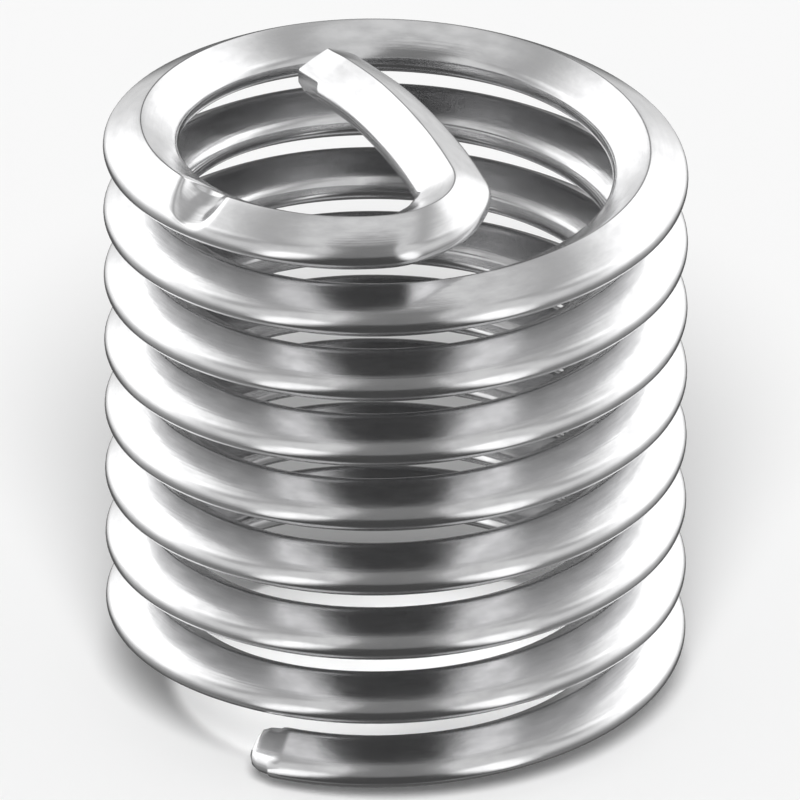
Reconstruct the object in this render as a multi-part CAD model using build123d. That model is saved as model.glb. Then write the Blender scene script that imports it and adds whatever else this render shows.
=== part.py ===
"""Helical thread insert: one length of diamond wire wound into a right-hand coil.

The wire's outer crests form an external thread and its inner crests an internal one. The
plain end is at the bottom. The top turn tightens, turns in through a tight bend and
crosses the bore as the driving tang, with a break-off notch pressed into the turn
before it. Millimetres, +Z up along the coil's axis, origin on the axis at the foot.
"""

import os
from math import atan2, ceil, cos, degrees, hypot, pi, radians, sin, tan

from build123d import *

# Coil
OUTER_DIAMETER = 12.4  # over the outer crests of the free coil, before it is fitted
PITCH = 1.54  # climb for each turn
TURNS = 8.0  # turns at full size, from the plain end to where the top turn tightens
START_ANGLE = -116.0  # degrees about the axis, where the plain end begins
STRETCH_ANGLE = 45.0  # most turn that one stretch of the threaded coil takes

# Wire section
TURN_GAP = 0.28  # clear height between the ridges of neighbouring turns
FLANK_ANGLE = 30.0  # degrees between a flank and the radial direction
CREST_RADIUS = 0.29  # rounding of the crests, which three narrow facets wrap

# Driving tang
EASE_TIGHTENING = 1.3  # how much smaller in radius the end of the top turn is
EASE_ANGLE = 32.0
BEND_INSIDE_RADIUS = 0.75  # left open inside the bend's inner crest
BEND_ANGLE = 100.0
TANG_BOW_RADIUS = 16.6  # the tang keeps a slight curve
TANG_PAST_AXIS = 2.3  # how far the tang reaches past the coil's axis

# Cut ends
NOSE_LENGTH = 0.6  # the plain end is sheared and rolled to a blunt nose
NOSE_SHOULDER = 0.88  # size of the nose halfway along against the wire's section
NOSE_SHARE = 0.5  # size of the nose's flat against the wire's section
TIP_BEVEL_LENGTH = 0.6  # sheared off the inner crest's underside at the tang's tip
TIP_BEVEL_DEPTH = 0.28
TIP_BEVEL_TILT = 25.0  # degrees that the sheared facet faces below level

# Break-off notch
NOTCH_RADIUS = 0.8
NOTCH_DEPTH = 0.32  # at the upper ridge; the trough runs out towards the outer crest
NOTCH_TILT = 13.0  # degrees that the trough falls from the ridge to the outer crest
NOTCH_SKEW = 20.0  # degrees that the trough turns forward along the wire
NOTCH_BEFORE_EASE = 23.7  # degrees of turn between the notch and the tightened stretch

# Sizes that follow
half_width = (PITCH - TURN_GAP) / 2
facet_angle = (90.0 - FLANK_ANGLE) / 2
half_land = CREST_RADIUS * tan(radians(facet_angle / 2))
peak_depth = half_width / tan(radians(FLANK_ANGLE))
half_depth = peak_depth - CREST_RADIUS / sin(radians(FLANK_ANGLE)) + CREST_RADIUS
outer_radius = OUTER_DIAMETER / 2
inner_radius = outer_radius - 2 * half_depth
mean_radius = outer_radius - half_depth
ease_radius = mean_radius - EASE_TIGHTENING
bend_radius = BEND_INSIDE_RADIUS + half_depth
climb = PITCH / (2 * pi * mean_radius)
top_angle = 360.0 * (half_width + half_land) / PITCH  # coil above the underside of the bend
threaded_angle = 360.0 * TURNS - top_angle


def crest_corner(angle, half_facet):
    """Corner at this angle round the outer crest, between facets that wrap its rounding."""
    reach = CREST_RADIUS / cos(radians(half_facet))
    centre = half_depth - CREST_RADIUS
    return centre + reach * cos(radians(angle)), reach * sin(radians(angle))


def diamond(crest, share=1.0):
    """Section of the wire from the corners of its outer crest, the same inside and out."""
    inner_crest = [(-x, z) for x, z in reversed(crest)]
    corners = [(0, -half_width), *crest, (0, half_width), *inner_crest]
    return make_face(Polyline(*[(share * x, share * z) for x, z in corners], close=True))


def wire_section(share=1.0):
    """The wire's own section: each crest has a flat land between two narrow facets."""
    half = facet_angle / 2
    return diamond([crest_corner(i * half, half) for i in (-3, -1, 1, 3)], share)


def peaked_section():
    """The section with its facets run on to a peak, for the lands to be cut from."""
    half = facet_angle / 2
    lower, upper = (crest_corner(i * half, half) for i in (-3, 3))
    return diamond([lower, crest_corner(0, facet_angle), upper])


def swept_arc(section, radius, angle):
    """Wire along a climbing arc about the local Z axis, from the local X axis on."""
    height = climb * radius * radians(angle)
    path = Edge.make_helix(2 * pi * radius * climb, height, radius)
    profile = Plane.XZ * Pos(radius, 0) * section
    return Solid.sweep(profile.face(), path, is_frenet=True)


def threaded_stretch(angle):
    """A stretch of the coil whose lands a sleeve cuts to the two thread diameters."""
    height = 4 * PITCH
    sleeve = Cylinder(outer_radius, height) - Cylinder(inner_radius, height)
    return swept_arc(peaked_section(), mean_radius, angle).intersect(sleeve).solid()


def along(radius, angle):
    """Step from the start of an arc of the wire to the same local frame at its end."""
    return Pos(0, 0, climb * radius * radians(angle)) * Rot(0, 0, angle)


def plain_nose():
    """Blunt nose before the plain end: the section shrinks slowly, then fast."""
    sizes = [(0, 1.0), (NOSE_LENGTH / 2, NOSE_SHOULDER), (NOSE_LENGTH, NOSE_SHARE)]
    placed = [Plane.XZ * Pos(mean_radius, 0, back) * wire_section(share) for back, share in sizes]
    return Solid.make_loft([section.face().outer_wire() for section in placed], ruled=True)


def tip_bevel():
    """Block that shears the inner crest's underside, placed from the end of the tang."""
    slant = degrees(atan2(TIP_BEVEL_DEPTH, TIP_BEVEL_LENGTH))
    block = 4 * half_depth
    tilt = radians(TIP_BEVEL_TILT)
    inward = half_depth - CREST_RADIUS + CREST_RADIUS * cos(tilt)
    corner = Pos(TANG_BOW_RADIUS - inward, -TIP_BEVEL_LENGTH, -CREST_RADIUS * sin(tilt))
    turned = corner * Rot(0, -TIP_BEVEL_TILT, 0) * Rot(0, 0, -slant)
    return turned * Pos(-block / 2, 0, 0) * Box(block, block, block)


def break_off_notch():
    """Round bar that presses the trough across the upper ridge and the outer flank."""
    bar = Pos(0, 0, NOTCH_RADIUS - NOTCH_DEPTH) * Rot(0, 90, 0) * Cylinder(NOTCH_RADIUS, 4 * half_depth)
    on_ridge = Pos(mean_radius, 0, half_width)
    return on_ridge * Rot(0, 0, NOTCH_SKEW) * Rot(0, NOTCH_TILT, 0) * bar


def joined(stretches, joints):
    """One solid from stretches that meet, face to face, round the places in joints."""
    outside = [
        face
        for stretch in stretches
        for face in stretch.faces()
        if face.geom_type != GeomType.PLANE
        or min((face.center() - joint).length for joint in joints) > CREST_RADIUS / 10
    ]
    return Solid(Shell(outside))


def wound_wire():
    """The coil, its tightened end, the bend and the tang, joined end to end."""
    start = Pos(0, 0, half_width) * Rot(0, 0, START_ANGLE)
    nose = start * plain_nose()

    count = ceil(threaded_angle / STRETCH_ANGLE)
    arc = threaded_angle / count
    frames = [start * along(mean_radius, i * arc) for i in range(count + 1)]
    stretch = threaded_stretch(arc)
    threaded = [frame * stretch for frame in frames[:-1]]

    top_turn = frames[-1] * swept_arc(wire_section(), mean_radius, top_angle)
    coil_end = frames[-1] * along(mean_radius, top_angle)
    top_turn = top_turn.cut(coil_end * along(mean_radius, -NOTCH_BEFORE_EASE) * break_off_notch())

    ease_start = coil_end * Pos(mean_radius - ease_radius, 0, 0)
    ease = ease_start * swept_arc(wire_section(), ease_radius, EASE_ANGLE)
    bend_start = ease_start * along(ease_radius, EASE_ANGLE) * Pos(ease_radius - bend_radius, 0, 0)
    bend = bend_start * swept_arc(wire_section(), bend_radius, BEND_ANGLE)
    tang_start = bend_start * along(bend_radius, BEND_ANGLE) * Pos(bend_radius - TANG_BOW_RADIUS, 0, 0)
    root = (tang_start * Pos(TANG_BOW_RADIUS, 0, 0)).position
    tang_angle = degrees((hypot(root.X, root.Y) + TANG_PAST_AXIS) / TANG_BOW_RADIUS)
    tang = tang_start * swept_arc(wire_section(), TANG_BOW_RADIUS, tang_angle)
    tang = tang.cut(tang_start * along(TANG_BOW_RADIUS, tang_angle) * tip_bevel())

    joints = [(frame * Pos(mean_radius, 0, 0)).position for frame in [*frames, coil_end]]
    joints += [(bend_start * Pos(bend_radius, 0, 0)).position, root]
    return joined([nose, *threaded, top_turn, ease, bend, tang], joints)


os.makedirs("parts", exist_ok=True)
export_step(wound_wire(), "parts/thread_insert.step")
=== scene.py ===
"""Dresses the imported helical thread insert: its wound wire, drawn steel and a plain studio."""

from math import cos, hypot, pi, radians, sin, sqrt, tan

import bmesh
import bpy
from mathutils import Matrix, Vector


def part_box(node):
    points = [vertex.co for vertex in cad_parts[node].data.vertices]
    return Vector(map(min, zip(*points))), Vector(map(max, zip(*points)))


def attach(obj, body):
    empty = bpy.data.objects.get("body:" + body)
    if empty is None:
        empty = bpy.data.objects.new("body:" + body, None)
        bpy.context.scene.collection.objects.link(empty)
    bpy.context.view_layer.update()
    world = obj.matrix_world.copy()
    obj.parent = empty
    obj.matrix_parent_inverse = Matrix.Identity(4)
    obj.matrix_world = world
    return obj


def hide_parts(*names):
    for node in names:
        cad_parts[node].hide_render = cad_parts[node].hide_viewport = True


bl_info = {
    "name": "Helical Thread Insert",
    "version": (1, 0, 0),
    "blender": (4, 5, 0),
    "location": "3D View > Sidebar > Thread Insert",
    "description": "Winds a thread insert's wire, finishes it as drawn steel and sets the stage",
    "category": "Add Mesh",
}

MM = 0.001

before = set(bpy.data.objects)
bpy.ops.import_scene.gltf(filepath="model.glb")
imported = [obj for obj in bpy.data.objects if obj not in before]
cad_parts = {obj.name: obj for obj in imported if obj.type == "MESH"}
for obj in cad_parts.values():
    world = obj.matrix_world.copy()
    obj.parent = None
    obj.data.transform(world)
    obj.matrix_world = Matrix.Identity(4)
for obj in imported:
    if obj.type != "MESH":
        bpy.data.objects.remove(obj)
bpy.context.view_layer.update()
insert_low, insert_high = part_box("thread_insert")


# ---------------------------------------------------------------- sizes and colours


class WireSizes(bpy.types.PropertyGroup):
    """The wire's section and the coil it is wound into, in metres and radians."""

    outer_diameter: bpy.props.FloatProperty(
        name="Outer diameter",
        description="Over the outer crests of the free coil",
        default=insert_high.x - insert_low.x,
        unit="LENGTH",
    )
    pitch: bpy.props.FloatProperty(
        name="Pitch", description="Climb for each turn", default=1.54 * MM, unit="LENGTH"
    )
    turns: bpy.props.FloatProperty(name="Turns", description="Turns at full size", default=8.0)
    start: bpy.props.FloatProperty(
        name="Start",
        description="Where the plain end begins, about the coil's axis",
        default=radians(-116.0),
        unit="ROTATION",
    )
    turn_gap: bpy.props.FloatProperty(
        name="Turn gap",
        description="Clear height between the ridges of neighbouring turns",
        default=0.28 * MM,
        unit="LENGTH",
    )
    flank: bpy.props.FloatProperty(
        name="Flank",
        description="Angle between a flank and the radial direction",
        default=radians(30.0),
        unit="ROTATION",
    )
    crest_radius: bpy.props.FloatProperty(
        name="Crest radius", description="Rounding of the crests", default=0.29 * MM, unit="LENGTH"
    )
    ridge_radius: bpy.props.FloatProperty(
        name="Ridge radius",
        description="Slight rounding of the upper and lower ridges",
        default=0.05 * MM,
        unit="LENGTH",
    )
    crown: bpy.props.FloatProperty(
        name="Flank crown",
        description="How far the middle of a flank stands proud of a flat one",
        default=0.012 * MM,
        unit="LENGTH",
    )


class TangSizes(bpy.types.PropertyGroup):
    """How the top turn ends: tightened, bent in and led across the bore."""

    ease_tightening: bpy.props.FloatProperty(
        name="Tightening",
        description="How much smaller in radius the end of the top turn is",
        default=1.3 * MM,
        unit="LENGTH",
    )
    ease_turn: bpy.props.FloatProperty(
        name="Tightened turn",
        description="Turn of the tightened stretch",
        default=radians(32.0),
        unit="ROTATION",
    )
    bend_inside: bpy.props.FloatProperty(
        name="Inside bend",
        description="Radius left open inside the bend's inner crest",
        default=0.75 * MM,
        unit="LENGTH",
    )
    bend_turn: bpy.props.FloatProperty(
        name="Bend",
        description="Turn of the tight bend",
        default=radians(100.0),
        unit="ROTATION",
    )
    bend_squeeze: bpy.props.FloatProperty(
        name="Bend squeeze",
        description="How far the bend pulls the crests in towards its centre",
        default=0.13 * MM,
        unit="LENGTH",
    )
    bow_radius: bpy.props.FloatProperty(
        name="Bow",
        description="Radius of the tang's slight curve",
        default=16.6 * MM,
        unit="LENGTH",
    )
    past_axis: bpy.props.FloatProperty(
        name="Past the axis",
        description="How far the tang reaches past the coil's axis",
        default=2.3 * MM,
        unit="LENGTH",
    )
    tip_slant: bpy.props.FloatProperty(
        name="Tip slant",
        description="How far the inner crest's end reaches past the ridge's, by its distance in",
        default=0.2,
    )
    tip_lean: bpy.props.FloatProperty(
        name="Tip lean", description="How far the tip leans in", default=0.11 * MM, unit="LENGTH"
    )
    nip_length: bpy.props.FloatProperty(
        name="Nip length",
        description="Length of the inner crest that is nipped flat at the tip",
        default=0.7 * MM,
        unit="LENGTH",
    )
    nip_depth: bpy.props.FloatProperty(
        name="Nip depth",
        description="Depth nipped off the inner crest at the tip",
        default=0.12 * MM,
        unit="LENGTH",
    )
    trim_rise: bpy.props.FloatProperty(
        name="Trim rise",
        description="Height of the sloped trim at the tip, from the wire's centre",
        default=-0.08 * MM,
        unit="LENGTH",
    )
    trim_slope: bpy.props.FloatProperty(
        name="Trim slope",
        description="Fall of that trim for each length back from the tip",
        default=0.8,
    )
    tip_wear: bpy.props.FloatProperty(
        name="Tip wear",
        description="How far the end of the tang's ridge is worn down",
        default=0.05 * MM,
        unit="LENGTH",
    )


class EndSizes(bpy.types.PropertyGroup):
    """The blunt nose at the plain end and the break-off notch near the tang."""

    nose_length: bpy.props.FloatProperty(
        name="Nose length", description="Length of the blunt nose", default=0.6 * MM, unit="LENGTH"
    )
    nose_shoulder: bpy.props.FloatProperty(
        name="Nose shoulder",
        description="Size of the nose halfway along against the wire",
        default=0.88,
    )
    nose_share: bpy.props.FloatProperty(
        name="Nose share", description="Size of the nose's flat against the wire", default=0.5
    )
    notch_radius: bpy.props.FloatProperty(
        name="Notch radius",
        description="Radius of the pressed trough",
        default=0.8 * MM,
        unit="LENGTH",
    )
    notch_depth: bpy.props.FloatProperty(
        name="Notch depth",
        description="Depth of the trough at the upper ridge",
        default=0.32 * MM,
        unit="LENGTH",
    )
    notch_tilt: bpy.props.FloatProperty(
        name="Notch tilt",
        description="Fall of the trough from the ridge to the outer crest",
        default=radians(13.0),
        unit="ROTATION",
    )
    notch_skew: bpy.props.FloatProperty(
        name="Notch skew",
        description="How far the trough turns forward along the wire",
        default=radians(20.0),
        unit="ROTATION",
    )
    notch_back: bpy.props.FloatProperty(
        name="Notch place",
        description="Turn between the notch and the tightened stretch",
        default=radians(22.9),
        unit="ROTATION",
    )
    notch_lip: bpy.props.FloatProperty(
        name="Notch lip",
        description="Share of the pressed depth that the metal is pushed into the bore",
        default=0.6,
    )


class SteelFinish(bpy.types.PropertyGroup):
    """Bright drawn stainless wire."""

    bright: bpy.props.FloatVectorProperty(
        name="Bright steel",
        description="Colour of clean drawn steel",
        subtype="COLOR",
        default=(0.66, 0.66, 0.665),
    )
    dull: bpy.props.FloatVectorProperty(
        name="Dull steel",
        description="Colour of the dull patches",
        subtype="COLOR",
        default=(0.57, 0.57, 0.575),
    )
    smoothest: bpy.props.FloatProperty(
        name="Smoothest", description="Roughness where the wire is brightest", default=0.13
    )
    roughest: bpy.props.FloatProperty(
        name="Roughest", description="Roughness in the dull patches", default=0.22
    )


class StudioSettings(bpy.types.PropertyGroup):
    """The floor, the backdrop and the panels of light round the object."""

    floor: bpy.props.FloatVectorProperty(
        name="Floor", description="Colour of the floor", subtype="COLOR", default=(0.9, 0.9, 0.9)
    )
    floor_radius: bpy.props.FloatProperty(
        name="Floor radius", description="How far the floor reaches", default=3.0, unit="LENGTH"
    )
    panel_light: bpy.props.FloatProperty(
        name="Panel light", description="Strength of all the light in the tent", default=1.0
    )
    soft_light: bpy.props.FloatProperty(
        name="Soft light", description="Strength of the soft light that the floor gets", default=0.4
    )
    key_light: bpy.props.FloatProperty(
        name="Key light", description="Strength of the light from over the camera", default=2.85
    )
    bore_light: bpy.props.FloatProperty(
        name="Bore light",
        description="Power of the narrow lamp that lights the floor down the bore",
        default=0.00027,
    )
    key_height: bpy.props.FloatProperty(
        name="Key elevation",
        description="How steeply the key light shines down",
        default=radians(46.0),
        unit="ROTATION",
    )
    camera_height: bpy.props.FloatProperty(
        name="Camera elevation",
        description="How steeply the camera looks down",
        default=radians(27.65),
        unit="ROTATION",
    )


class InsertSettings(bpy.types.PropertyGroup):
    """Everything that a user would change."""

    wire: bpy.props.PointerProperty(type=WireSizes)
    tang: bpy.props.PointerProperty(type=TangSizes)
    ends: bpy.props.PointerProperty(type=EndSizes)
    steel: bpy.props.PointerProperty(type=SteelFinish)
    studio: bpy.props.PointerProperty(type=StudioSettings)


# ---------------------------------------------------------------- winding the wire

# Steps round the wire's section
CREST_STEPS = 10
RIDGE_STEPS = 3
FLANK_CUTS = 5

# Steps along the wire
STEPS_PER_TURN = 144
NOTCH_SPAN = radians(30.0)  # stretch round the notch that is wound in fine steps
NOTCH_STEPS = 80
NOTCH_TO_EASE_STEPS = 10
EASE_STEPS = 14
BEND_STEPS = 44
TANG_STEPS = 56
TIP_STEPS = 48
TIP_SPAN = 2.0  # the tip's fine steps, in lengths of its nip

# Marks of the tools
GRAIN = 0.09 * MM  # the longest edge that is left uncut where a tool has pressed
GRAIN_CUTS = 4
BEND_FADE = 0.35  # share of the bend over which its squeeze comes and goes
NOTCH_SOFTNESS = 0.07 * MM
NOTCH_EDGE = 0.25 * MM  # how far beyond the trough the metal starts to give
NOTCH_EASE = 0.2 * MM
LIP_EDGE = 0.25 * MM  # where the lip starts, outside the ridge
LIP_EASE = 0.3 * MM
NOTCH_REACH = 1.4  # the metal that the notch moves, in half depths of the wire
NOTCH_BELOW = 1.1  # and in half widths below the ridge
NIP_FLAT = 0.8  # share of the nip's length at full depth
NIP_REACH = 1.5  # the tip's metal that is cut fine, in lengths of its nip
LEAN_SPAN = 3.0  # the stretch that leans in, in lengths of the nip
TRIM_EDGE = 0.6  # how far in the trim is complete, in half depths of the wire
NOSE_ROUNDING = (0.12, 0.93)  # place along the nose, and size there against the wire
NOSE_BROW = (0.8, 0.74)


class Winding:
    """A wire being wound in a bmesh: its open end, where it is and how far along it has got."""

    def __init__(self, bm, ring, climb):
        self.bm = bm
        self.end = ring
        self.climb = climb
        self.centre = Vector((0, 0, 0))
        self.radius = 0.0
        self.angle = 0.0
        self.length = 0.0
        self.along = bm.verts.layers.float.get("along")

    def mark(self, first, count, step_length):
        """Writes how far along the wire each new ring of vertices lies."""
        fresh = list(self.bm.verts)[first:]
        in_ring = len(fresh) // count
        for ring in range(count):
            self.length += step_length
            for vert in fresh[ring * in_ring : (ring + 1) * in_ring]:
                vert[self.along] = self.length

    def turn(self, angle, steps):
        """Carries the wire on along its present arc."""
        first = len(self.bm.verts)
        step_length = self.radius * angle / steps
        spun = bmesh.ops.spin(
            self.bm,
            geom=self.end,
            cent=self.centre,
            axis=(0, 0, 1),
            dvec=(0, 0, self.climb * step_length),
            angle=angle,
            steps=steps,
        )
        self.end = spun["geom_last"]
        self.angle += angle
        self.mark(first, steps, step_length)

    def change_radius(self, radius):
        """Moves the arc's centre along its radius, so that the next arc carries on smoothly."""
        outward = Vector((cos(self.angle), sin(self.angle), 0))
        self.centre += (self.radius - radius) * outward
        self.radius = radius

    def place(self):
        """The wire's centre at its open end."""
        outward = Vector((cos(self.angle), sin(self.angle), 0))
        height = sum(v.co.z for v in self.ring_verts()) / len(self.ring_verts())
        return self.centre + self.radius * outward + Vector((0, 0, height))

    def ring_verts(self):
        return [g for g in self.end if isinstance(g, bmesh.types.BMVert)]


def section_sizes(wire):
    """Half width, half depth and mean radius of the diamond wire."""
    half_width = (wire.pitch - wire.turn_gap) / 2
    peak = half_width / tan(wire.flank)
    half_depth = peak - wire.crest_radius / sin(wire.flank) + wire.crest_radius
    return half_width, half_depth, wire.outer_diameter / 2 - half_depth


def spin_corner(bm, centre, start, radius, turn, steps):
    """A rounded corner of the section: one vertex spun about the corner's centre."""
    at = Vector(centre) + radius * Vector((cos(start), 0, sin(start)))
    first = len(bm.verts)
    vert = bm.verts.new(at)
    bmesh.ops.spin(
        bm, geom=[vert], cent=centre, axis=(0, -1, 0), dvec=(0, 0, 0), angle=turn, steps=steps
    )
    bm.verts.ensure_lookup_table()
    return list(bm.verts[first:])


def wire_section(bm, wire):
    """The diamond section as a ring of vertices about the wire's centre, in the plane y = 0."""
    half_width, half_depth, _ = section_sizes(wire)
    crest = half_depth - wire.crest_radius
    ridge = half_width - wire.ridge_radius / cos(wire.flank)
    crest_turn = pi - 2 * wire.flank
    ridge_turn = 2 * wire.flank
    crests = wire.crest_radius, crest_turn, CREST_STEPS
    ridges = wire.ridge_radius, ridge_turn, RIDGE_STEPS
    corners = [
        spin_corner(bm, (crest, 0, 0), -crest_turn / 2, *crests),
        spin_corner(bm, (0, 0, ridge), crest_turn / 2, *ridges),
        spin_corner(bm, (-crest, 0, 0), pi - crest_turn / 2, *crests),
        spin_corner(bm, (0, 0, -ridge), pi + crest_turn / 2, *ridges),
    ]
    pairs = list(zip(corners, corners[1:] + corners[:1]))
    spans = [(a[-1].co.copy(), b[0].co.copy()) for a, b in pairs]
    flanks = [bm.edges.new((a[-1], b[0])) for a, b in pairs]
    cut = bmesh.ops.subdivide_edges(bm, edges=flanks, cuts=FLANK_CUTS)["geom_inner"]
    for vert in (g for g in cut if isinstance(g, bmesh.types.BMVert)):
        start, end = min(spans, key=lambda span: (vert.co - (span[0] + span[1]) / 2).length)
        share = (vert.co - start).length / (end - start).length
        outward = (end - start).cross((0, -1, 0)).normalized()
        vert.co += 4 * share * (1 - share) * wire.crown * outward
    measure_girth(bm)
    return list(bm.verts) + list(bm.edges)


def measure_girth(bm):
    """Writes how far round the section each vertex lies."""
    girth = bm.verts.layers.float.get("girth")
    bm.verts.ensure_lookup_table()
    vert, before, done = bm.verts[0], None, 0.0
    while True:
        onward = [e for e in vert.link_edges if e.other_vert(vert) is not before]
        after = onward[0].other_vert(vert)
        done += (after.co - vert.co).length
        if after is bm.verts[0]:
            return
        after[girth] = done
        vert, before = after, vert


def first_ring(wire, turns):
    """A winding that starts a new bmesh with the section at the foot of this turn."""
    half_width, _, mean_radius = section_sizes(wire)
    bm = bmesh.new()
    for name in ("along", "girth"):
        bm.verts.layers.float.new(name)
    ring = wire_section(bm, wire)
    height = half_width + turns * wire.pitch
    bmesh.ops.translate(bm, verts=bm.verts[:], vec=(mean_radius, 0, height))
    turned = Matrix.Rotation(wire.start, 3, "Z")
    bmesh.ops.rotate(bm, verts=bm.verts[:], cent=(0, 0, 0), matrix=turned)
    winding = Winding(bm, ring, wire.pitch / (2 * pi * mean_radius))
    winding.radius = mean_radius
    winding.angle = wire.start
    winding.length = turns * 2 * pi * mean_radius
    for vert in bm.verts:
        vert[winding.along] = winding.length
    return winding


def whole_turns(wire, count):
    """The coil's lower turns: one turn is wound, and the rest are copies of it set on top."""
    winding = first_ring(wire, 0)
    bm = winding.bm
    foot = [g for g in winding.end if isinstance(g, bmesh.types.BMEdge)]
    winding.turn(2 * pi, STEPS_PER_TURN)
    turn = bm.verts[:] + bm.edges[:] + bm.faces[:]
    for i in range(1, count):
        copied = bmesh.ops.duplicate(bm, geom=turn)["geom"]
        verts = [g for g in copied if isinstance(g, bmesh.types.BMVert)]
        bmesh.ops.translate(bm, verts=verts, vec=(0, 0, i * wire.pitch))
        for vert in verts:
            vert[winding.along] += i * winding.length
    return bm, foot


def top_turn_and_tang(wire, tang, ends, turns):
    """The rest of the wire: the last turns at full size, the tightened stretch, bend and tang."""
    _, half_depth, mean_radius = section_sizes(wire)
    winding = first_ring(wire, turns)
    step = 2 * pi / STEPS_PER_TURN
    before_notch = 2 * pi * (wire.turns - turns) - ends.notch_back - NOTCH_SPAN / 2
    winding.turn(before_notch, round(before_notch / step))
    winding.turn(NOTCH_SPAN, NOTCH_STEPS)
    winding.turn(ends.notch_back - NOTCH_SPAN / 2, NOTCH_TO_EASE_STEPS)
    winding.change_radius(mean_radius - tang.ease_tightening)
    winding.turn(tang.ease_turn, EASE_STEPS)
    winding.change_radius(tang.bend_inside + half_depth)
    before = winding.length
    winding.turn(tang.bend_turn, BEND_STEPS)
    squeeze_bend(winding, before, half_depth, tang.bend_squeeze)
    root = winding.place()
    winding.change_radius(tang.bow_radius)
    length = hypot(root.x, root.y) + tang.past_axis
    fine = TIP_SPAN * tang.nip_length
    winding.turn((length - fine) / tang.bow_radius, TANG_STEPS)
    winding.turn(fine / tang.bow_radius, TIP_STEPS)
    return winding


def squeeze_bend(winding, before, half_depth, squeeze):
    """Pulls both crests in towards the bend's centre: thinned outside, bulged inside."""
    for vert in winding.bm.verts:
        share = (vert[winding.along] - before) / (winding.length - before)
        if 0 < share < 1:
            outward = vert.co - winding.centre
            outward.z = 0
            aside = abs(outward.length - winding.radius) / half_depth
            fade = ramp(share / BEND_FADE) * ramp((1 - share) / BEND_FADE)
            vert.co -= squeeze * aside * fade * outward.normalized()


def press_notch(bm, wire, ends):
    """Presses the break-off trough across the upper ridge, and a lip of metal into the bore."""
    half_width, half_depth, mean_radius = section_sizes(wire)
    angle = wire.start + 2 * pi * wire.turns - ends.notch_back
    outward = Vector((cos(angle), sin(angle), 0))
    turned = Matrix.Rotation(ends.notch_skew, 3, "Z") @ outward
    forward = Vector((-turned.y, turned.x, 0))
    trough = cos(ends.notch_tilt) * turned - sin(ends.notch_tilt) * Vector((0, 0, 1))
    lift = trough.cross(forward)
    height = 2 * half_width + wire.pitch * (wire.turns - ends.notch_back / (2 * pi))
    on_ridge = mean_radius * outward + Vector((0, 0, height))

    def near(vert):
        offset = vert.co - on_ridge
        return offset.length < NOTCH_REACH * half_depth and offset.z > -NOTCH_BELOW * half_width

    refine(bm, [v for v in bm.verts if near(v)])
    inside = ends.notch_radius - ends.notch_depth
    for vert in bm.verts:
        if not near(vert):
            continue
        offset = vert.co - on_ridge
        across, rise = offset.dot(forward), offset.dot(lift)
        if abs(across) > ends.notch_radius:
            continue
        floor = inside - sqrt(ends.notch_radius**2 - across**2)
        above = rise - floor
        pressed = (above + hypot(above, NOTCH_SOFTNESS)) / 2
        vert.co -= pressed * fade(above, -NOTCH_EDGE, -NOTCH_EDGE + NOTCH_EASE) * lift
        bore_side = fade(offset.dot(turned), LIP_EDGE, LIP_EDGE - LIP_EASE)
        vert.co -= ends.notch_lip * max(0.0, above) * bore_side * turned


def ramp(share):
    """From nothing to one, with soft ends."""
    share = min(1.0, max(0.0, share))
    return share * share * (3 - 2 * share)


def fade(value, low, high):
    """Nothing at low, one at high, with soft ends; low may be the larger."""
    return ramp((value - low) / (high - low))


def close_nose(bm, edges, wire, ends):
    """Blunt nose before the plain end: the first ring drawn back and shrunk, then closed."""
    half_width, _, mean_radius = section_sizes(wire)
    outward = Vector((cos(wire.start), sin(wire.start), 0))
    backward = Vector((outward.y, -outward.x, 0))
    centre = mean_radius * outward + Vector((0, 0, half_width))
    share, done = 1.0, 0.0
    rings = (NOSE_ROUNDING, (0.5, ends.nose_shoulder), NOSE_BROW, (1.0, ends.nose_share))
    for part, size in rings:
        drawn = bmesh.ops.extrude_edge_only(bm, edges=edges)["geom"]
        verts = [g for g in drawn if isinstance(g, bmesh.types.BMVert)]
        fresh = set(verts)
        edges = [g for g in drawn if isinstance(g, bmesh.types.BMEdge) and set(g.verts) <= fresh]
        bmesh.ops.translate(bm, verts=verts, vec=(part - done) * ends.nose_length * backward)
        place = centre + part * ends.nose_length * backward
        bmesh.ops.scale(bm, verts=verts, vec=(size / share,) * 3, space=Matrix.Translation(-place))
        share, done = size, part
    bmesh.ops.edgeloop_fill(bm, edges=edges)


def refine(bm, verts):
    """Cuts up the longer rungs between these vertices, those that run round the wire."""
    girth = bm.verts.layers.float.get("girth")
    chosen = set(verts)
    rungs = [
        e
        for e in bm.edges
        if e.verts[0] in chosen
        and e.verts[1] in chosen
        and e.verts[0][girth] != e.verts[1][girth]
        and e.calc_length() > GRAIN
    ]
    bmesh.ops.subdivide_edges(bm, edges=rungs, cuts=GRAIN_CUTS, use_grid_fill=True)


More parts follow.
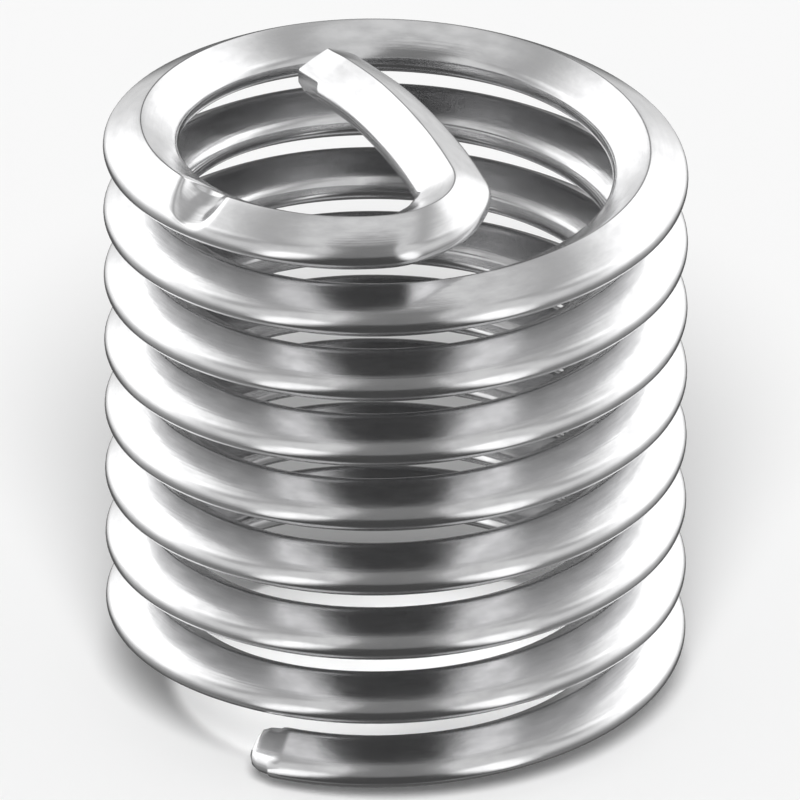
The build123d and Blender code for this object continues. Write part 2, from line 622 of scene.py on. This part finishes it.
def nip_tip(winding, wire, tang):
    """Closes the tang's tip, leans it in, nips its inner crest flat and wears its ridge."""
    half_width, half_depth, _ = section_sizes(wire)
    bm, along = winding.bm, winding.along
    end = winding.place()
    level = -Vector((cos(winding.angle), sin(winding.angle), 0))
    forward = Vector((level.y, -level.x, 0))
    edges = [g for g in winding.end if isinstance(g, bmesh.types.BMEdge)]
    bmesh.ops.edgeloop_fill(bm, edges=edges)
    pressed = NIP_REACH * tang.nip_length
    refine(bm, [v for v in bm.verts if winding.length - v[along] < pressed])
    for vert in bm.verts:
        back = winding.length - vert[along]
        lean = fade(back, LEAN_SPAN * tang.nip_length, 0)
        if not lean:
            continue
        inner = (vert.co - end).dot(level) - back * back / (2 * tang.bow_radius)
        rise = vert.co.z - end.z
        if back < tang.nip_length:
            nipped = tang.nip_depth * fade(back, tang.nip_length, NIP_FLAT * tang.nip_length)
            vert.co -= max(0.0, inner - half_depth + nipped) * level
        underside = tang.trim_rise - tang.trim_slope * back
        vert.co.z += max(0.0, underside - rise) * ramp(inner / (TRIM_EDGE * half_depth))
        vert.co += tang.tip_lean * lean * level
        vert.co += tang.tip_slant * max(0.0, inner) * ramp(1 - back / half_depth) * forward
        worn = tang.tip_wear * ramp(1 - back / tang.nip_length)
        vert.co.z -= worn * max(0.0, rise / half_width) ** 2


def join_pieces(bm, other):
    """Brings another bmesh's geometry into this one and frees the other."""
    between = bpy.data.meshes.new("between")
    other.to_mesh(between)
    other.free()
    bm.from_mesh(between)
    bpy.data.meshes.remove(between)


def unwrap_along(bm):
    """Lays the wire out flat in a UV map: distance along and round it, in millimetres."""
    girth = bm.verts.layers.float.get("girth")
    along = bm.verts.layers.float.get("along")
    whole = max(v[girth] for v in bm.verts)
    uv = bm.loops.layers.uv.new("wire")
    for face in bm.faces:
        round_it = [loop.vert[girth] for loop in face.loops]
        split = max(round_it) - min(round_it) > whole / 2
        for loop, distance in zip(face.loops, round_it):
            if split and distance < whole / 2:
                distance += whole
            loop[uv].uv = (loop.vert[along] / MM, distance / MM)


SHARP_FROM = radians(38.0)  # angle between faces past which their edge shows
WELD = 0.001 * MM  # vertices nearer than this are one


def new_piece(bm, name):
    """Turns finished mesh work into a smooth-shaded object in the scene."""
    bmesh.ops.recalc_face_normals(bm, faces=bm.faces[:])
    mesh = bpy.data.meshes.new(name)
    bm.to_mesh(mesh)
    bm.free()
    mesh.polygons.foreach_set("use_smooth", [True] * len(mesh.polygons))
    mesh.set_sharp_from_angle(angle=SHARP_FROM)
    piece = bpy.data.objects.new(name, mesh)
    bpy.context.scene.collection.objects.link(piece)
    return piece


# ---------------------------------------------------------------- steel


def socket(group, name, kind, into, value=None):
    """Adds one named socket to a node group."""
    side = "INPUT" if into else "OUTPUT"
    made = group.interface.new_socket(name=name, in_out=side, socket_type=kind)
    if value is not None:
        made.default_value = value
    return made


def link(tree, start, end):
    """Joins one node's output to another's input."""
    tree.links.new(start, end)


def calculate(tree, operation, *values):
    """A math node; each value is a number or another node's output."""
    node = tree.nodes.new("ShaderNodeMath")
    node.operation = operation
    for i, value in enumerate(values):
        if isinstance(value, (int, float)):
            node.inputs[i].default_value = value
        else:
            link(tree, value, node.inputs[i])
    return node.outputs["Value"]


def remap(tree, value, given, wanted=(0.0, 1.0), ease="LINEAR"):
    """Maps a value from the span given to the span wanted."""
    node = tree.nodes.new("ShaderNodeMapRange")
    node.interpolation_type = ease
    ends = zip(("From Min", "From Max", "To Min", "To Max"), (*given, *wanted))
    for name, end in ends:
        node.inputs[name].default_value = end
    link(tree, value, node.inputs["Value"])
    return node.outputs["Result"]


def smooth(tree, value, low, high):
    """Nothing at low, one at high, with soft ends; low may be the larger."""
    return remap(tree, value, (low, high), ease="SMOOTHSTEP")


def blend(tree, share, a, b):
    """From a to b by share; a and b are numbers or other nodes' outputs."""
    node = tree.nodes.new("ShaderNodeMix")
    node.data_type = "FLOAT"
    link(tree, share, node.inputs["Factor"])
    for name, value in (("A", a), ("B", b)):
        if isinstance(value, (int, float)):
            node.inputs[name].default_value = value
        else:
            link(tree, value, node.inputs[name])
    return node.outputs["Result"]


def product(tree, first, *others):
    """All of these multiplied together."""
    for other in others:
        first = calculate(tree, "MULTIPLY", first, other)
    return first


# Noise on the wire: how often it changes along, round and through, and its detail
WIRE_MARKS = {"Marks": ((0.22, 17.0, 1.0), 3.0), "Mottling": ((1.5, 3.2, 1.0), 4.0)}
COLOUR_MOTTLING = (0.3, 0.65)  # the noise that gives the dull colour, and the bright one
ROUGH_MOTTLING = (0.3, 0.7)
MARK_HEIGHT = 0.35  # height of the marks against the mottling
MARK_STRENGTH = 0.6
MARK_DEPTH = 0.006 * MM


def drawn_marks_group():
    """Node group: fine marks that run along a drawn wire, and the cloudy mottling across them."""
    group = bpy.data.node_groups.new("Drawn wire marks", "ShaderNodeTree")
    socket(group, "Wire", "NodeSocketVector", True)
    socket(group, "Marks", "NodeSocketFloat", False)
    socket(group, "Mottling", "NodeSocketFloat", False)
    nodes = group.nodes
    given = nodes.new("NodeGroupInput")
    result = nodes.new("NodeGroupOutput")
    for name, (scale, detail) in WIRE_MARKS.items():
        mapping = nodes.new("ShaderNodeMapping")
        mapping.inputs["Scale"].default_value = scale
        noise = nodes.new("ShaderNodeTexNoise")
        noise.inputs["Scale"].default_value = 1.0
        noise.inputs["Detail"].default_value = detail
        link(group, given.outputs["Wire"], mapping.inputs["Vector"])
        link(group, mapping.outputs["Vector"], noise.inputs["Vector"])
        link(group, noise.outputs["Fac"], result.inputs[name])
    return group


def drawn_steel(finish):
    """Bright drawn stainless steel, with marks along the wire and slightly dull patches."""
    material = bpy.data.materials.new("drawn_stainless_steel")
    material.use_nodes = True
    tree = material.node_tree
    shader = tree.nodes["Principled BSDF"]
    shader.inputs["Metallic"].default_value = 1.0
    wire_map = tree.nodes.new("ShaderNodeUVMap")
    wire_map.uv_map = "wire"
    marks = tree.nodes.new("ShaderNodeGroup")
    marks.node_tree = drawn_marks_group()
    link(tree, wire_map.outputs["UV"], marks.inputs["Wire"])

    mottling = marks.outputs["Mottling"]
    colour = tree.nodes.new("ShaderNodeMix")
    colour.data_type = "RGBA"
    colour.inputs["A"].default_value = (*finish.dull, 1)
    colour.inputs["B"].default_value = (*finish.bright, 1)
    link(tree, remap(tree, mottling, COLOUR_MOTTLING), colour.inputs["Factor"])
    link(tree, colour.outputs["Result"], shader.inputs["Base Color"])

    rough = remap(tree, mottling, ROUGH_MOTTLING, (finish.roughest, finish.smoothest))
    link(tree, rough, shader.inputs["Roughness"])

    height = calculate(tree, "MULTIPLY_ADD", marks.outputs["Marks"], MARK_HEIGHT, mottling)
    bump = tree.nodes.new("ShaderNodeBump")
    bump.inputs["Strength"].default_value = MARK_STRENGTH
    bump.inputs["Distance"].default_value = MARK_DEPTH
    link(tree, height, bump.inputs["Height"])
    link(tree, bump.outputs["Normal"], shader.inputs["Normal"])
    return material


# ---------------------------------------------------------------- studio

# The tent by direction. Turn is degrees from the front, the same to either side, and height is
# degrees above the level. Each span of two numbers runs from nothing to the whole.
SKIRT = (0.28, 0.9)  # brightness low down, and from the level up
SKIRT_SPAN = (-48, 0)
STRIP_SPREAD = (-0.8, 0.63)  # slope with height, and value at the level
STRIP_LEAN = 0.4
OPENING_SHIFT = 0.04
OPENING_WIDTH = (-0.19, 0.39)  # slope with height, and value at the level
GLOOM = (0.09, 0.27)  # brightness in the opening, below the level and above it
GLOOM_SPAN = (-16, 2)
TENT = {  # in the order in which they cover one another: brightness, then what bounds it
    "grey gap": (0.54, (("turn", 50, 70), ("height", 8, 32), ("height", 74, 62))),
    "side panel": (
        1.9,
        (("turn", 70, 106), ("turn", 166, 148), ("height", -20, 10), ("height", 62, 40)),
    ),
    "front strip": (
        1.65,
        (
            ("spread aside", 0.2, 0.34),
            ("leaning turn", 50, 40),
            ("height", -88, -72),
            ("height", 26, 0),
        ),
    ),
    "opening": ("gloom", (("off centre", 1.15, 0.68), ("front", -0.05, 0.12))),
    "far gap": (0.15, (("turn", 168, 176), ("height", 38, 24))),
    "shaded floor": (0.12, (("turn", 125, 150), ("height", -13, -25))),
}


def studio_world(studio):
    """A white tent round the insert, by direction: bright panels, grey gaps and a dark opening."""
    world = bpy.data.worlds.new("studio")
    bpy.context.scene.world = world
    world.use_nodes = True
    tree = world.node_tree
    coordinates = tree.nodes.new("ShaderNodeTexCoord")
    direction = tree.nodes.new("ShaderNodeVectorMath")
    direction.operation = "NORMALIZE"
    link(tree, coordinates.outputs["Object"], direction.inputs[0])
    split = tree.nodes.new("ShaderNodeSeparateXYZ")
    link(tree, direction.outputs["Vector"], split.inputs["Vector"])
    x, y, z = (split.outputs[k] for k in "XYZ")
    front = calculate(tree, "MULTIPLY", y, -1.0)
    aside = calculate(tree, "ABSOLUTE", x)
    turn = calculate(tree, "DEGREES", calculate(tree, "ARCTAN2", aside, front))
    height = calculate(tree, "DEGREES", calculate(tree, "ARCSINE", z))

    spread = calculate(tree, "MULTIPLY_ADD", z, *STRIP_SPREAD)
    off_centre = calculate(tree, "ABSOLUTE", calculate(tree, "ADD", x, OPENING_SHIFT))
    width = calculate(tree, "MULTIPLY_ADD", z, *OPENING_WIDTH)
    measured = {
        "turn": turn,
        "height": height,
        "front": front,
        "spread aside": calculate(tree, "MULTIPLY", aside, spread),
        "leaning turn": calculate(tree, "MULTIPLY_ADD", height, STRIP_LEAN, turn),
        "off centre": calculate(tree, "DIVIDE", off_centre, width),
        "gloom": blend(tree, smooth(tree, height, *GLOOM_SPAN), *GLOOM),
    }
    tent = blend(tree, smooth(tree, height, *SKIRT_SPAN), *SKIRT)
    for brightness, fades in TENT.values():
        share = product(tree, *(smooth(tree, measured[what], *span) for what, *span in fades))
        tent = blend(tree, share, tent, measured.get(brightness, brightness))

    path = tree.nodes.new("ShaderNodeLightPath")
    seen = path.outputs["Is Camera Ray"]
    for ray in ("Is Glossy Ray", "Is Transmission Ray"):
        seen = calculate(tree, "MAXIMUM", seen, path.outputs[ray])
    panels = calculate(tree, "MULTIPLY", tent, studio.panel_light)
    light = blend(tree, seen, studio.soft_light, panels)
    background = tree.nodes["Background"]
    link(tree, light, background.inputs["Strength"])
    background.inputs["Color"].default_value = (1, 1, 1, 1)


DULL = 0.9  # roughness of the floor
FLOOR_SEGMENTS = 96
BACKDROP_SEGMENTS = 48
WHITE = 1.0  # strength at which a glow shows as plain white


def plain_material(name, colour):
    """A dull surface of one colour."""
    material = bpy.data.materials.new(name)
    material.use_nodes = True
    shader = material.node_tree.nodes["Principled BSDF"]
    shader.inputs["Base Color"].default_value = (*colour, 1)
    shader.inputs["Roughness"].default_value = DULL
    shader.inputs["Specular IOR Level"].default_value = 0.0
    return material


def glow_material(name, strength):
    """A surface that shines white and takes no light."""
    material = bpy.data.materials.new(name)
    material.use_nodes = True
    tree = material.node_tree
    tree.nodes.remove(tree.nodes["Principled BSDF"])
    glow = tree.nodes.new("ShaderNodeEmission")
    glow.inputs["Strength"].default_value = strength
    link(tree, glow.outputs["Emission"], tree.nodes["Material Output"].inputs["Surface"])
    return material


def floor_and_backdrop(studio):
    """A round pale floor under the insert, and a pale wall that only the camera sees."""
    bm = bmesh.new()
    radius = studio.floor_radius
    bmesh.ops.create_circle(bm, cap_ends=True, segments=FLOOR_SEGMENTS, radius=radius)
    floor = new_piece(bm, "floor")
    floor.data.materials.append(plain_material("pale_floor", studio.floor))
    floor.visible_glossy = False
    bm = bmesh.new()
    bmesh.ops.create_uvsphere(
        bm, u_segments=BACKDROP_SEGMENTS, v_segments=BACKDROP_SEGMENTS // 2, radius=radius
    )
    backdrop = new_piece(bm, "backdrop")
    backdrop.data.materials.append(glow_material("pale_backdrop", WHITE))
    for rays in ("diffuse", "glossy", "transmission", "volume_scatter", "shadow"):
        setattr(backdrop, "visible_" + rays, False)


def lamp(name, kind, place, turned, strength):
    """A lamp that lights the floor and doesn't show in the steel."""
    data = bpy.data.lights.new(name, kind)
    data.energy = strength
    made = bpy.data.objects.new(name, data)
    made.location = place
    made.rotation_euler = turned
    made.visible_glossy = False
    made.visible_camera = False
    bpy.context.scene.collection.objects.link(made)
    return data


KEY_PLACE = (0, -0.3, 0.3)
KEY_BREADTH = radians(24.0)
BORE_PLACE = (0, 0, 18 * MM)
BORE_WIDTH = 8 * MM
BORE_SPREAD = radians(30.0)


def floor_lamps(studio):
    """A broad light from over the camera, and a narrow one that shines down through the bore."""
    aim = (pi / 2 - studio.key_height, 0, 0)
    key = lamp("key", "SUN", KEY_PLACE, aim, studio.key_light)
    key.angle = KEY_BREADTH
    bore = lamp("bore", "AREA", BORE_PLACE, (0, 0, 0), studio.bore_light)
    bore.shape = "DISK"
    bore.size = BORE_WIDTH
    bore.spread = BORE_SPREAD


SENSOR_WIDTH = 36.0  # millimetres, as the lens is
LENS = 988.0
FARTHEST_SEEN = 10.0
EYE = (0.09 * MM, -414.1 * MM, 223.5 * MM)


def camera(studio):
    """A long lens at the height from which the bore and the tang show."""
    data = bpy.data.cameras.new("camera")
    data.sensor_width = SENSOR_WIDTH
    data.lens = LENS
    data.clip_end = FARTHEST_SEEN
    eye = bpy.data.objects.new("camera", data)
    eye.location = EYE
    eye.rotation_euler = (pi / 2 - studio.camera_height, 0, 0)
    bpy.context.scene.collection.objects.link(eye)
    bpy.context.scene.camera = eye


# ---------------------------------------------------------------- operators


class INSERT_OT_wind_wire(bpy.types.Operator):
    """Wind the insert's wire, with its notch, tang and cut ends, and finish it as drawn steel"""

    bl_idname = "thread_insert.wind_wire"
    bl_label = "Wind wire"

    def execute(self, context):
        settings = context.scene.thread_insert
        wire, tang, ends = settings.wire, settings.tang, settings.ends
        lower = int(wire.turns) - 1
        bm, foot = whole_turns(wire, lower)
        close_nose(bm, foot, wire, ends)
        winding = top_turn_and_tang(wire, tang, ends, lower)
        nip_tip(winding, wire, tang)
        press_notch(winding.bm, wire, ends)
        join_pieces(bm, winding.bm)
        bmesh.ops.remove_doubles(bm, verts=bm.verts[:], dist=WELD)
        unwrap_along(bm)
        piece = new_piece(bm, "wound_wire")
        piece.data.materials.append(drawn_steel(settings.steel))
        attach(piece, "root")
        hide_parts("thread_insert")
        return {"FINISHED"}


class INSERT_OT_set_stage(bpy.types.Operator):
    """Set the floor, the backdrop, the light and the camera"""

    bl_idname = "thread_insert.set_stage"
    bl_label = "Set stage"

    def execute(self, context):
        studio = context.scene.thread_insert.studio
        bpy.context.scene.view_settings.view_transform = "Standard"
        studio_world(studio)
        floor_and_backdrop(studio)
        floor_lamps(studio)
        camera(studio)
        return {"FINISHED"}


class INSERT_PT_panel(bpy.types.Panel):
    """The insert's pieces, in the order they are made, and the sizes that shape them"""

    bl_idname = "INSERT_PT_panel"
    bl_label = "Thread Insert"
    bl_space_type = "VIEW_3D"
    bl_region_type = "UI"
    bl_category = "Thread Insert"

    def draw(self, context):
        for operator in OPERATORS:
            self.layout.operator(operator.bl_idname)
        settings = context.scene.thread_insert
        for part in (settings.wire, settings.tang, settings.ends, settings.steel, settings.studio):
            box = self.layout.box()
            for name in type(part).__annotations__:
                box.prop(part, name)


GROUPS = (WireSizes, TangSizes, EndSizes, SteelFinish, StudioSettings, InsertSettings)
OPERATORS = (INSERT_OT_wind_wire, INSERT_OT_set_stage)


def register():
    for made in (*GROUPS, *OPERATORS, INSERT_PT_panel):
        bpy.utils.register_class(made)
    bpy.types.Scene.thread_insert = bpy.props.PointerProperty(type=InsertSettings)


def unregister():
    del bpy.types.Scene.thread_insert
    for made in reversed((*GROUPS, *OPERATORS, INSERT_PT_panel)):
        bpy.utils.unregister_class(made)


def main():
    register()
    bpy.ops.thread_insert.wind_wire()
    bpy.ops.thread_insert.set_stage()


if __name__ == "__main__":
    main()
